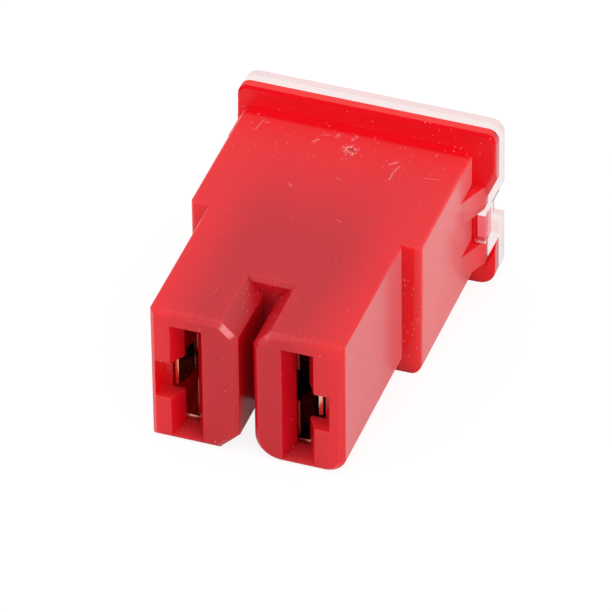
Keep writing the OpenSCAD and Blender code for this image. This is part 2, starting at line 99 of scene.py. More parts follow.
class HousingSettings(PropertyGroup):
    colour: FloatVectorProperty(
        name="Colour", description="Colour of the moulded plastic",
        subtype="COLOR", size=3, min=0.0, max=1.0, default=(0.85, 0.006, 0.014))
    # Painted shade: the deeper red given to the middle of the housing, away from its sides and
    # flange.
    shaded_middle_colour: FloatVectorProperty(
        name="Deep colour", description="Colour of the plastic where it is thickest",
        subtype="COLOR", size=3, min=0.0, max=1.0, default=(0.57, 0.003, 0.012))
    # Painted light: the bright red of the flange's rim, standing for the light through the cover.
    # The outer sides use it too.
    painted_glow_colour: FloatVectorProperty(
        name="Rim colour", description="Colour of the flange's rim, lit through the cover",
        subtype="COLOR", size=3, min=0.0, max=1.0, default=(1.0, 0.045, 0.045))
    # Also the pale colour of the painted sheen and of the painted highlights.
    wear_and_highlight_colour: FloatVectorProperty(
        name="Wear colour", description="Colour of scuffs, dents and dust on the plastic",
        subtype="COLOR", size=3, min=0.0, max=1.0, default=(0.90, 0.30, 0.33))
    # Partly painted highlight: the pale of torn plastic, and also the lit look of the gate's
    # bumps.
    torn_and_lit_colour: FloatVectorProperty(
        name="Torn colour", description="Colour of the torn bumps of the gate mark",
        subtype="COLOR", size=3, min=0.0, max=1.0, default=(0.95, 0.55, 0.55))
    glow: FloatProperty(
        name="Glow", description="How far light travels inside the plastic",
        unit="LENGTH", min=0.0, default=2.0 * MM)
    translucency: FloatProperty(
        name="Translucency", description="Share of the light that enters the plastic",
        subtype="FACTOR", min=0.0, max=1.0, default=0.8)
    top_satin: FloatProperty(
        name="Top roughness", description="Roughness of the upper and lower faces",
        subtype="FACTOR", min=0.0, max=1.0, default=0.7)
    end_satin: FloatProperty(
        name="End roughness", description="Roughness of the flange and the open ends",
        subtype="FACTOR", min=0.0, max=1.0, default=0.34)
    side_gloss: FloatProperty(
        name="Side roughness", description="Roughness of the two sides",
        subtype="FACTOR", min=0.0, max=1.0, default=0.18)
    side_sheen: FloatProperty(
        name="Side sheen", description="Pale sheen of the outer sides, seen at a slant",
        subtype="FACTOR", min=0.0, max=1.0, default=0.85)
    edge: FloatProperty(
        name="Edge break", description="Rounding of the crisp moulded edges",
        unit="LENGTH", min=0.0, default=0.05 * MM)
    edge_steps: IntProperty(
        name="Edge steps", description="Faces across each rounded edge",
        min=1, max=6, default=3)
    rim_edge: FloatProperty(
        name="Flange edge", description="Rounding around the near face of the flange",
        unit="LENGTH", min=0.0, default=0.2 * MM)
    gate: FloatProperty(
        name="Gate mark", description="Width of the rough spot left by the gate of the mould",
        unit="LENGTH", min=0.1 * MM, default=1.4 * MM)


class CoverSettings(PropertyGroup):
    colour: FloatVectorProperty(
        name="Tint", description="Tint of the clear plastic",
        subtype="COLOR", size=3, min=0.0, max=1.0, default=(1.0, 0.975, 0.97))
    # Painted red: the red walls seen through the clear snap arms.
    painted_arm_red: FloatVectorProperty(
        name="Arm tint", description="Tint of the snap arms, which stand in front of red walls",
        subtype="COLOR", size=3, min=0.0, max=1.0, default=(0.84, 0.02, 0.035))
    # Painted glow: the pink of the plate stands for the housing's red light shining into it.
    painted_plate_glow: FloatVectorProperty(
        name="Plate tint", description="Tint of the plate, which the housing's red shines into",
        subtype="COLOR", size=3, min=0.0, max=1.0, default=(0.93, 0.76, 0.76))
    edge: FloatProperty(
        name="Edge", description="Rounding of the cover's edges",
        unit="LENGTH", min=0.0, default=0.03 * MM)
    rim_edge: FloatProperty(
        name="Top edge", description="Rounding around the top face of the cover",
        unit="LENGTH", min=0.0, default=0.12 * MM)
    ior: FloatProperty(
        name="Refraction", description="How strongly the thin clear plastic bends light",
        min=1.0, max=2.0, default=1.16)
    haze: FloatProperty(
        name="Haze", description="Roughness inside the clear plastic",
        subtype="FACTOR", min=0.0, max=1.0, default=0.04)


class ElementSettings(PropertyGroup):
    # Painted shade: the faces are darkened for the shade inside the housing, with patches of
    # tarnish over it.
    shaded_face_colour: FloatVectorProperty(
        name="Face colour", description="Colour of the tarnished faces of the strip",
        subtype="COLOR", size=3, min=0.0, max=1.0, default=(0.42, 0.20, 0.11))
    # Painted shade: the dark colour of the strip's sides towards the gap.
    gap_side_shade_colour: FloatVectorProperty(
        name="Oxide colour", description="Colour of the dark oxide on the sides towards the gap",
        subtype="COLOR", size=3, min=0.0, max=1.0, default=(0.20, 0.02, 0.014))
    colour: FloatVectorProperty(
        name="Edge colour", description="Colour of the bright sheared edges",
        subtype="COLOR", size=3, min=0.0, max=1.0, default=(0.86, 0.52, 0.33))
    edge: FloatProperty(
        name="Edge", description="Rounding of the punched edges",
        unit="LENGTH", min=0.0, default=0.03 * MM)


class PelletSettings(PropertyGroup):
    colour: FloatVectorProperty(
        name="Colour", description="Colour of the tin",
        subtype="COLOR", size=3, min=0.0, max=1.0, default=(0.62, 0.62, 0.64))
    edge: FloatProperty(
        name="Edge", description="Rounding of the pellet's two heads",
        unit="LENGTH", min=0.0, default=0.12 * MM)


class StageSettings(PropertyGroup):
    azimuth: FloatProperty(
        name="Azimuth", description="Turn of the view to the right of the open ends",
        subtype="ANGLE", default=math.radians(19.853))
    elevation: FloatProperty(
        name="Elevation", description="Height of the view over the floor, as an angle",
        subtype="ANGLE", default=math.radians(38.755))
    roll: FloatProperty(
        name="Roll", description="Lean of the camera",
        subtype="ANGLE", default=math.radians(-0.771))
    distance: FloatProperty(
        name="Distance", description="From the camera to the point it aims at",
        unit="LENGTH", min=0.01, default=522.7 * MM)
    aim: FloatVectorProperty(
        name="Aim", description="Point that the camera aims at, from the middle of the fuse",
        subtype="TRANSLATION", size=3, default=(-0.238 * MM, -1.483 * MM, -1.637 * MM))
    lens: FloatProperty(
        name="Lens", description="Focal length in millimetres, on a 36 mm sensor",
        min=1.0, default=468.55)
    sky: FloatProperty(
        name="Sky", description="Light from all around", min=0.0, default=0.55)
    top_light: FloatProperty(
        name="Top light", description="Light that the overhead softbox gives",
        min=0.0, default=0.15)
    front_light: FloatProperty(
        name="Front light", description="Light that the front softbox gives",
        min=0.0, default=0.12)
    side_light: FloatProperty(
        name="Side light", description="Light that each side softbox gives",
        min=0.0, default=0.275)


class FuseSettings(PropertyGroup):
    housing: PointerProperty(type=HousingSettings)
    cover: PointerProperty(type=CoverSettings)
    element: PointerProperty(type=ElementSettings)
    pellet: PointerProperty(type=PelletSettings)
    stage: PointerProperty(type=StageSettings)


# ------------------------------------------------------------------ modelling

WELD = 0.03 * MM                # points closer than this become one
COVER_WELD = 0.025 * MM         # the same for the cover, which has finer points
LEVEL = 0.02 * MM               # places closer than this are level with each other
FLAT = math.radians(0.5)        # faces that turn by less are one face
CREASE = math.radians(36)       # edges that turn by more are moulded edges
SHARP = math.radians(40)        # edges that turn by more are shaded as edges
FILLET_ROOM = 0.5 * MM          # length and height of the fillet below the flange
TIP_LENGTH = 0.45 * MM          # how far a leg's upper tip reaches from its open end
TIP_HEIGHT = 0.35 * MM          # and below the upper face
SLIVER = 0.12 * MM              # edges of that tip that are too short to round

RIM_STEPS = 4                   # faces across the roundings of a rim,
PLAIN_STEPS = 3                 # of a plain edge,
SHEET_STEPS = 2                 # and of an edge of the thin strip

# The gate mark, in parts of its width.
GATE_SQUARE = 1.3               # square with points close enough to carry the mark
GATE_REACH = 0.64               # where its points may rise, from the middle
GATE_RADIUS = 0.46              # where the lumps end,
GATE_BLUR = 0.16                # how softly they end,
GATE_WANDER = 0.25              # and how far that line strays
GATE_LUMP = 0.13                # length of a lump
GATE_RISE = 0.09                # height of a lump
GATE_CUTS = 49                  # cuts across the square


def turn(edge):
    """Angle between the two faces of an edge: positive where it stands out."""
    return edge.calc_face_angle_signed(0.0)


def middle(edge):
    return (edge.verts[0].co + edge.verts[1].co) / 2


def near(value, target):
    return abs(value - target) < LEVEL


def merged_copy(node, weld=WELD):
    """The faces of a CAD node, joined into whole faces and ready to be worked on."""
    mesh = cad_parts[node].data.copy()
    if "custom_normal" in mesh.attributes:
        mesh.attributes.remove(mesh.attributes["custom_normal"])
    bm = bmesh.new()
    bm.from_mesh(mesh)
    bpy.data.meshes.remove(mesh)
    bmesh.ops.remove_doubles(bm, verts=bm.verts, dist=weld)
    bmesh.ops.dissolve_degenerate(bm, edges=bm.edges, dist=weld)
    bmesh.ops.dissolve_limit(bm, angle_limit=FLAT, verts=bm.verts, edges=bm.edges)
    bm.normal_update()
    return bm


def outer_creases(bm):
    """The edges that stand out where two moulded faces meet."""
    return [edge for edge in bm.edges if edge.is_manifold and turn(edge) > CREASE]


def all_creases(bm):
    return [edge for edge in bm.edges if edge.is_manifold and abs(turn(edge)) > CREASE]


def in_seam(edge):
    """Whether an edge of the cover lies in its seam with the housing."""
    return all(near(vert.co.y, HOUSING_HIGH.y) for vert in edge.verts)


def round_edges(bm, edges, width, steps):
    bmesh.ops.bevel(
        bm, geom=edges, affect="EDGES", offset=width, offset_type="OFFSET",
        segments=steps, profile=0.5, material=-1, clamp_overlap=False, loop_slide=False)
    bm.normal_update()


def around_level(bm, y):
    """The edges that stand out around a face across the fuse's length."""
    return [edge for edge in outer_creases(bm)
            if near(edge.verts[0].co.y, y) and near(edge.verts[1].co.y, y)]


def free_rim(bm):
    """The flange's near edge, where it stands clear of the housing."""
    corner = HOUSING_HIGH - Vector((0.1 * MM, 0, 0.5 * MM))
    return [edge for edge in around_level(bm, FLANGE_FACE)
            if min(vert.co.z for vert in edge.verts) > NOTCH_TOP
            and (abs(middle(edge).x) > corner.x or middle(edge).z > corner.z)]


def tight_corner(edge):
    """Whether an edge is in a corner that has no room for a rounding: an end of
    the fillet below the flange, an inner corner of a recess, or a leg's tip."""
    spot = middle(edge)
    length = edge.calc_length()
    fillet_end = (FLANGE_FACE - FILLET_ROOM < spot.y < FLANGE_FACE - 0.001 * MM
                  and UPPER_FACE < spot.z < UPPER_FACE + FILLET_ROOM)
    upright = near(edge.verts[0].co.x, edge.verts[1].co.x)
    inner_corner = near(spot.y, RECESS_FLOOR) and upright and near(length, RECESS_HEIGHT)
    leg_tip = (spot.y < HOUSING_LOW.y + TIP_LENGTH and spot.z > UPPER_FACE - TIP_HEIGHT
               and length < SLIVER)
    return fillet_end or inner_corner or leg_tip


def cut_patch(bm, centre, size, cuts):
    """Cuts a fine square grid out of the level face around a point."""
    faces = [face for face in bm.faces
             if face.normal.z > 0.999 and near(face.verts[0].co.z, centre.z)
             and bmesh.geometry.intersect_face_point(face, centre)]
    for side in (Vector((1, 0, 0)), Vector((-1, 0, 0)), Vector((0, 1, 0)), Vector((0, -1, 0))):
        parts = dict.fromkeys(faces)
        for face in faces:
            parts.update(dict.fromkeys([*face.edges, *face.verts]))
        cut = bmesh.ops.bisect_plane(
            bm, geom=list(parts), dist=0.0001 * MM,
            plane_co=centre + side * size / 2, plane_no=side)
        faces = [part for part in cut["geom"] if isinstance(part, bmesh.types.BMFace)
                 and (part.calc_center_median() - centre).dot(side) < size / 2]
    patch = min(faces, key=lambda face: (face.calc_center_median() - centre).length)
    bmesh.ops.subdivide_edges(bm, edges=patch.edges, cuts=cuts, use_grid_fill=True)


def roughen_gate(bm, width):
    """The spot where the moulding was cut off its gate: a torn, lumpy disc."""
    cut_patch(bm, GATE, GATE_SQUARE * width, GATE_CUTS)
    for vert in bm.verts:
        away = vert.co - GATE
        if not near(away.z, 0) or max(abs(away.x), abs(away.y)) > GATE_REACH * width:
            continue
        stray = noise.noise(away * 2.6 / width + Vector((3, 1, 0)))
        edge = away.length + GATE_WANDER * width * stray
        inside = min(1.0, max(0.0, (GATE_RADIUS * width - edge) / (GATE_BLUR * width)))
        lumps = noise.fractal(vert.co / (GATE_LUMP * width), 0.8, 2.0, 2)
        vert.co.z += inside * GATE_RISE * lumps * width
    bm.normal_update()


def add_piece(bm, name, node, material):
    """Makes the finished piece, which stands for a CAD node."""
    for face in bm.faces:
        face.smooth = True
        face.material_index = 0
    for edge in bm.edges:
        edge.smooth = abs(turn(edge)) < SHARP
    mesh = bpy.data.meshes.new(name)
    bm.to_mesh(mesh)
    bm.free()
    mesh.materials.append(material)
    piece = bpy.data.objects.new(name, mesh)
    bpy.context.scene.collection.objects.link(piece)
    even = piece.modifiers.new("Even shading", "WEIGHTED_NORMAL")
    even.keep_sharp = True
    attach(piece, "root")
    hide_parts(node)
    return piece


# ------------------------------------------------------------------ materials


class Finish:
    """One procedural material, built node by node around its shader."""

    def __init__(self, name):
        self.material = bpy.data.materials.new(name)
        self.material.use_nodes = True
        self.tree = self.material.node_tree
        self.shader = self.tree.nodes["Principled BSDF"]
        coordinates = self.add("ShaderNodeTexCoord")
        self.place = coordinates.outputs["Object"]
        self.normal = coordinates.outputs["Normal"]

    def add(self, kind, inputs=None, **settings):
        node = self.tree.nodes.new(kind)
        for name, value in settings.items():
            setattr(node, name, value)
        for name, value in (inputs or {}).items():
            self.feed(node.inputs[name], value)
        return node

    def feed(self, socket, value):
        if isinstance(value, bpy.types.NodeSocket):
            self.tree.links.new(value, socket)
        else:
            socket.default_value = value

    def set(self, **values):
        """Sets the shader's sockets, with underscores for spaces."""
        for name, value in values.items():
            self.feed(self.shader.inputs[name.replace("_", " ")], value)

    def math(self, operation, a, b=0.0, clamp=False):
        node = self.add("ShaderNodeMath", {0: a, 1: b}, operation=operation, use_clamp=clamp)
        return node.outputs[0]

    def chain(self, operation, values):
        total, *others = values
        for value in others:
            total = self.math(operation, total, value)
        return total

    def product(self, *values):
        return self.chain("MULTIPLY", values)

    def most(self, *values):
        return self.chain("MAXIMUM", values)

    def rest(self, value):
        """What is left of one without the value."""
        return self.math("SUBTRACT", 1.0, value)

    def size(self, value):
        """The value without its sign."""
        return self.math("ABSOLUTE", value)

    def split(self, vector):
        """The x, y and z of a vector."""
        return self.add("ShaderNodeSeparateXYZ", {"Vector": vector}).outputs

    def ramp(self, value, start, end, low=0.0, high=1.0):
        """Goes smoothly from low to high as value goes from start to end."""
        node = self.add(
            "ShaderNodeMapRange",
            {"Value": value, "From Min": start, "From Max": end, "To Min": low, "To Max": high},
            interpolation_type="SMOOTHSTEP")
        return node.outputs["Result"]

    def moved(self, stretch=(1, 1, 1), offset=(0, 0, 0), turn=(0, 0, 0)):
        node = self.add(
            "ShaderNodeMapping",
            {"Vector": self.place, "Location": offset, "Rotation": turn, "Scale": stretch})
        return node.outputs["Vector"]

    def noise(self, size, detail=3.0, roughness=0.5, place=None):
        node = self.add(
            "ShaderNodeTexNoise",
            {"Vector": place or self.place, "Scale": 1 / size,
             "Detail": detail, "Roughness": roughness})
        return node.outputs["Fac"]

    def specks(self, spacing, radius, share, offset=(0, 0, 0)):
        """Scattered round spots. The share is the part of them that shows."""
        node = self.add(
            "ShaderNodeTexVoronoi",
            {"Vector": self.moved(offset=offset), "Scale": 1 / spacing})
        spot = self.ramp(node.outputs["Distance"], radius / spacing, 0.5 * radius / spacing)
        channels = self.add("ShaderNodeSeparateColor", {"Color": node.outputs["Color"]})
        chosen = self.math("LESS_THAN", channels.outputs["Red"], share)
        return self.product(spot, chosen)

    def stroke(self, x, y, angle, length, width, bow=0.0):
        """One scratch on the upper face, centred at x, y. Bow bends it into an arc."""
        across = self.moved(offset=(-x * math.cos(angle) - y * math.sin(angle),
                                    x * math.sin(angle) - y * math.cos(angle), 0),
                            turn=(0, 0, -angle))
        along, beside, _ = self.split(across)
        bend = self.product(along, along, bow)
        thin = self.ramp(self.size(self.math("ADD", beside, bend)), width / 2, width / 8)
        short = self.ramp(self.size(along), length / 2, length / 3)
        return self.product(thin, short)

    def patch(self, place, reach):
        """A soft round area around a place."""
        away = self.add("ShaderNodeVectorMath", {0: self.place, 1: place}, operation="DISTANCE")
        return self.ramp(away.outputs["Value"], reach, 0.3 * reach)

    def blend(self, factor, a, b):
        node = self.add("ShaderNodeMix", data_type="RGBA")
        for index, value in ((0, factor), (6, a), (7, b)):
            self.feed(node.inputs[index], value)
        return node.outputs[2]

    def bump(self, height, distance, strength=1.0, normal=None):
        node = self.add(
            "ShaderNodeBump", {"Height": height, "Distance": distance, "Strength": strength})
        if normal is not None:
            self.feed(node.inputs["Normal"], normal)
        return node.outputs["Normal"]


def colour(rgb):
    return (*rgb, 1.0)


def grey(level):
    return colour((level, level, level))


def scaled(rgb, factor):
    return tuple(min(1.0, channel * factor) for channel in rgb)


# Scratches on the upper face: place, angle, length, width and bow.
SCRATCHES = [
    (3.10 * MM, 6.50 * MM, math.radians(84), 2.0 * MM, 0.22 * MM, 140.0),
    (5.60 * MM, 6.66 * MM, math.radians(9), 1.5 * MM, 0.11 * MM, -20.0),
    (-2.90 * MM, 8.18 * MM, math.radians(54), 0.7 * MM, 0.32 * MM, 0.0),
    (-2.42 * MM, 8.98 * MM, math.radians(18), 0.8 * MM, 0.13 * MM, 0.0),
    (-6.98 * MM, 8.70 * MM, math.radians(82), 1.5 * MM, 0.13 * MM, 30.0),
    (1.40 * MM, 0.54 * MM, math.radians(-20), 0.45 * MM, 0.14 * MM, 0.0),
    (-1.66 * MM, 9.15 * MM, math.radians(75), 0.6 * MM, 0.40 * MM, 0.0),
    (-0.50 * MM, 9.25 * MM, math.radians(70), 0.8 * MM, 0.34 * MM, 0.0),
    (5.20 * MM, 9.20 * MM, math.radians(80), 0.35 * MM, 0.24 * MM, 0.0),
    (2.80 * MM, 7.50 * MM, math.radians(40), 0.8 * MM, 0.30 * MM, 0.0),
    (-6.60 * MM, 9.05 * MM, math.radians(10), 0.5 * MM, 0.16 * MM, 0.0),
    (-2.90 * MM, 3.15 * MM, math.radians(-30), 0.5 * MM, 0.24 * MM, 0.0),
    (-0.15 * MM, 4.79 * MM, math.radians(-25), 0.5 * MM, 0.16 * MM, 0.0),
]

# Marked places: a leg's tip and which way its facet faces, for a painted highlight, and the worn
# places on a shoulder and by the gap.
LEG_TIP = (-1.80 * MM, -11.90 * MM, 9.95 * MM)
TIP_FACET = (0.5, -0.707, 0.5)
SHOULDER_RUB = (6.6 * MM, -0.6 * MM, 4.6 * MM)
GAP_RUB = (0.9 * MM, -7.5 * MM, 10.0 * MM)

RED_REACH = (1.0, 0.12, 0.08)   # how far red, green and blue light go, in parts of the glow
SHEEN_TINT = (1.0, 0.86, 0.9)
SHEEN_ROUGHNESS = 0.35
SIDE_DULLING = 0.7              # how dull the outer sides are in reflections: 1 is all
FLANGE_SHINE = 0.35             # strength of the reflections on the flange,
BODY_SHINE = 0.5                # and on everything in front of it


class HousingFinish(Finish):
    """The housing's material, with the areas that its colour and gloss share."""

    def __init__(self, settings):
        super().__init__("housing_plastic")
        self.settings = settings
        x, self.y, self.z = self.split(self.place)
        self.slope_x, self.slope_y, self.slope_z = self.split(self.normal)
        self.off_centre = self.size(self.math("SUBTRACT", x, BODY_MIDDLE))
        self.mottle = self.noise(0.45 * MM, detail=3, roughness=0.6)
        self.lumps = self.noise(0.2 * MM, detail=2)

        self.on_top = self.ramp(self.z, UPPER_FACE - 0.2 * MM, UPPER_FACE - 0.05 * MM)
        self.rim = self.ramp(self.z, HOUSING_HIGH.z - 0.25 * MM, HOUSING_HIGH.z - 0.05 * MM)
        self.clear_of_fillet = self.ramp(
            self.y, FLANGE_FACE - 0.4 * MM, FLANGE_FACE - 0.6 * MM)
        leaning = self.product(self.slope_z, self.product(self.slope_y, -1.0))
        from_flange = self.size(self.math("SUBTRACT", self.y, FLANGE_FACE))
        self.fillet = self.product(
            self.ramp(leaning, 0.02, 0.2), self.ramp(from_flange, 0.7 * MM, 0.55 * MM))
        sideways = self.ramp(self.size(self.slope_x), 0.6, 0.9)
        self.outer_side = self.product(
            sideways, self.ramp(self.off_centre, 6.5 * MM, 6.65 * MM))

    def spots(self):
        """Specks and small dents. Some lie in clusters, and more by the flange."""
        clusters = self.ramp(self.noise(2.2 * MM, detail=2), 0.52, 0.66)
        by_flange = self.product(self.ramp(self.y, 2 * MM, 8.5 * MM), self.on_top)
        return self.most(
            self.specks(0.55 * MM, 0.055 * MM, 0.22),
            self.specks(1.5 * MM, 0.085 * MM, 0.35, offset=(0.3 * MM, 0.1 * MM, 0)),
            self.product(self.specks(0.28 * MM, 0.045 * MM, 0.4), clusters),
            self.product(self.specks(0.36 * MM, 0.07 * MM, 0.4), by_flange))

    def scratches(self):
        """The scratches on the upper face, with broken outlines."""
        ragged = self.ramp(self.noise(0.10 * MM, detail=2), 0.38, 0.60)
        strokes = self.most(*(self.stroke(*scratch) for scratch in SCRATCHES))
        return self.product(strokes, ragged, self.on_top)

    def torn_and_lit(self):
        """The torn bumps of the gate mark: pale as torn plastic, and lightened further as painted
        highlight.
        """
        bumps = self.ramp(self.lumps, 0.5, 0.6)
        return self.product(self.patch(tuple(GATE), 0.55 * self.settings.gate), bumps)

    def shaded_pits(self):
        """Painted shade: the pits between those bumps, which are darkened."""
        hollows = self.ramp(self.lumps, 0.48, 0.40)
        return self.product(self.patch(tuple(GATE), 0.4 * self.settings.gate), hollows)

    def highlit_tip_facet(self):
        """Painted highlight: the bevelled facet at a leg's tip, made pale where it faces one way.
        """
        facing = self.add(
            "ShaderNodeVectorMath", {0: self.normal, 1: TIP_FACET}, operation="DOT_PRODUCT")
        return self.product(
            self.ramp(facing.outputs["Value"], 0.93, 0.98), self.patch(LEG_TIP, 3 * MM),
            self.ramp(self.mottle, 0.3, 0.5, 0.7, 1.0))

    def scrapes(self):
        """Pale grains on the near face of a shoulder and on the gap's edges."""
        forward = self.ramp(self.slope_y, -0.7, -0.9)
        slanting = self.ramp(self.size(self.product(self.slope_x, self.slope_z)), 0.3, 0.45)
        rubbed = self.most(
            self.product(forward, self.patch(SHOULDER_RUB, 7 * MM)),
            self.product(slanting, self.patch(GAP_RUB, 5 * MM)))
        grains = self.specks(0.3 * MM, 0.075 * MM, 0.5, offset=(0.1 * MM, 0.2 * MM, 0))
        return self.product(grains, rubbed)

    def marks_and_highlights(self, torn_and_lit):
        """All the marks together, each as strong as it shows, with the painted highlights on a
        leg's tip facet and on the gate's bumps.
        """
        marks_and_highlights = self.most(
            self.product(self.scrapes(), 0.8),
            self.product(self.spots(), 0.65),
            self.product(self.scratches(), 0.85),
            self.product(torn_and_lit, 0.9),
            self.product(self.highlit_tip_facet(), 0.8))
        return self.math("MINIMUM", marks_and_highlights, 1.0)

    def red(self):
        """Painted light and shade: deeper red in the middle, brighter towards the sides and the
        flange, and brightest on the outer sides.
        """
        by_flange = self.ramp(self.y, -3.5 * MM, 8.5 * MM)
        by_side = self.ramp(self.off_centre, 2.6 * MM, 6.4 * MM, 0.0, 0.75)
        # Painted light: thin is the share of the brighter red, growing towards the sides and the
        # flange.
        thin = self.rest(self.product(self.rest(by_side), self.rest(by_flange)))
        cloud = self.math("SUBTRACT", self.noise(4 * MM, detail=2), 0.5)
        thin = self.math("ADD", thin, self.product(cloud, 0.3), clamp=True)
        shade = self.blend(
            thin, colour(self.settings.shaded_middle_colour), colour(self.settings.colour))
        # Painted light: the outer sides are brightened with the glow colour, more towards the
        # flange.
        painted_side_glow = self.product(self.outer_side, self.ramp(self.y, -3 * MM, 3 * MM, 0.1, 1.0))
        return self.blend(painted_side_glow, shade, colour(self.settings.painted_glow_colour))

    def painted_sheen_film(self):
        """Painted sheen: a thin pale film on the upper face and the outer sides, which lightens
        them as the haze of their reflections does.
        """
        upper = self.product(self.on_top, self.clear_of_fillet)
        sides = self.product(self.outer_side, self.ramp(self.y, -4 * MM, 3 * MM, 1.0, 1.5))
        return self.product(
            self.most(upper, sides), self.ramp(self.mottle, 0.3, 0.7, 0.039, 0.051))

    def shade(self, marks_and_highlights, torn_and_lit):
        """The colour, with painted light and shade and the marks over it."""
        settings = self.settings
        # Painted sheen: the pale film over the red.
        shade = self.blend(self.painted_sheen_film(), self.red(), colour(settings.wear_and_highlight_colour))
        # Painted light: the flange's rim is brightened.
        shade = self.blend(self.rim, shade, colour(settings.painted_glow_colour))
        shade = self.blend(self.fillet, shade, colour(settings.colour))
        # Painted shade: the pits at the gate are darkened.
        shade = self.blend(
            self.product(self.shaded_pits(), 0.7), shade, colour(scaled(settings.colour, 0.4)))
        # Marks, with painted highlights among them.
        shade = self.blend(marks_and_highlights, shade, colour(settings.wear_and_highlight_colour))
        # The gate's bumps: pale from tearing, and lightened as painted highlight.
        return self.blend(self.product(torn_and_lit, 0.5), shade, colour(settings.torn_and_lit_colour))

    def shine(self):
        """The strength of the reflections. The fillet has none."""
        dulled = self.most(self.fillet, self.product(self.outer_side, SIDE_DULLING))
        return self.product(
            self.ramp(dulled, 0.0, 1.0, 1.0, 0.0),
            self.ramp(self.clear_of_fillet, 0.0, 1.0, FLANGE_SHINE, BODY_SHINE))

    def roughness(self, marks_and_highlights):
        """Satin on the level and the forward faces, and glossy on the sides."""
        settings = self.settings
        level = self.ramp(self.size(self.slope_z), 0.5, 0.95, 0.0, settings.top_satin)
        facing = self.ramp(self.size(self.slope_y), 0.5, 0.95, 0.0, settings.end_satin)
        satin = self.most(level, facing, settings.side_gloss)
        uneven = self.product(self.math("SUBTRACT", self.mottle, 0.5), 0.12)
        gloss = self.math("ADD", satin, uneven)
        return self.math("ADD", gloss, self.product(marks_and_highlights, 0.3), clamp=True)

    def relief(self, marks_and_highlights):
        """A fine grain, a faint wave, and the marks."""
        grain = self.noise(0.14 * MM, detail=3, roughness=0.65)
        fine = self.bump(grain, 0.0016 * MM, 0.5)
        wavy = self.bump(self.noise(1.1 * MM, detail=1), 0.012 * MM, 0.35, fine)
        return self.bump(marks_and_highlights, 0.03 * MM, 0.9, wavy)


def housing_plastic(settings):
    """Red plastic that glows a little: satin on its flats, glossy on its sides with a pale sheen
    at a slant, with specks, dents, scratches and worn corners. Its colour carries painted light
    and shade: a deeper middle, brighter sides, flange and rim, a pale painted sheen, painted
    highlights on a leg's tip and the gate's bumps, and painted shade in the gate's pits."""
    finish = HousingFinish(settings)
    torn_and_lit = finish.torn_and_lit()
    marks_and_highlights = finish.marks_and_highlights(torn_and_lit)
    finish.set(Base_Color=finish.shade(marks_and_highlights, torn_and_lit), Normal=finish.relief(marks_and_highlights))
    finish.set(IOR=1.5, Specular_IOR_Level=finish.shine(), Roughness=finish.roughness(marks_and_highlights))
    finish.set(Sheen_Weight=finish.product(finish.outer_side, settings.side_sheen),
               Sheen_Roughness=SHEEN_ROUGHNESS, Sheen_Tint=colour(SHEEN_TINT))
    finish.set(Subsurface_Weight=finish.ramp(finish.rim, 0.0, 1.0, settings.translucency, 0.0),
               Subsurface_Scale=settings.glow, Subsurface_Radius=RED_REACH)
    return finish.material


def clear_plastic(settings):
    """Clear plastic, a touch hazy, with fine handling scratches in its gloss. The plate is
    painted pink for the housing's red light shining into it, and the snap arms are painted red
    for the red walls seen through them, apart from their bright edges."""
    finish = Finish("clear_plastic")
    x, y, z = finish.split(finish.place)
    plate = finish.ramp(y, COVER_HIGH.y - 0.75 * MM, COVER_HIGH.y - 0.55 * MM)
    # Painted glow: the plate is tinted pink.
    tint_with_painted_glow = finish.blend(plate, colour(settings.colour), colour(settings.painted_plate_glow))
    arms = finish.ramp(y, HOUSING_HIGH.y + 0.05 * MM, HOUSING_HIGH.y - 0.1 * MM)
    across = finish.size(finish.math("SUBTRACT", z, ARM_MIDDLE))
    outline = finish.most(
        finish.ramp(across, 1.02 * MM, 1.12 * MM),
        finish.ramp(finish.size(x), HOOK_TIP + 0.12 * MM, HOOK_TIP))
    # Painted red of the walls behind the arms. Their edges stay clear.
    painted_arm_tint = finish.blend(outline, colour(settings.painted_arm_red), colour(settings.colour))
    tint_with_painted_glow = finish.blend(arms, tint_with_painted_glow, painted_arm_tint)
    finish.set(Base_Color=tint_with_painted_glow, IOR=settings.ior, Transmission_Weight=1.0)

    scuffs = finish.noise(0.5 * MM, detail=4, roughness=0.7,
                          place=finish.moved(stretch=(0.3, 1, 1), turn=(0, 0, 0.5)))
    finish.set(Roughness=finish.ramp(scuffs, 0.45, 0.8, settings.haze, 2 * settings.haze))
    finish.set(Coat_Weight=1.0, Coat_Roughness=0.05, Coat_IOR=1.5)
    fine = finish.bump(finish.noise(0.9 * MM, detail=1), 0.02 * MM, 0.25)
    finish.set(Normal=finish.bump(finish.specks(0.9 * MM, 0.04 * MM, 0.4), 0.01 * MM, 0.5, fine))
    return finish.material


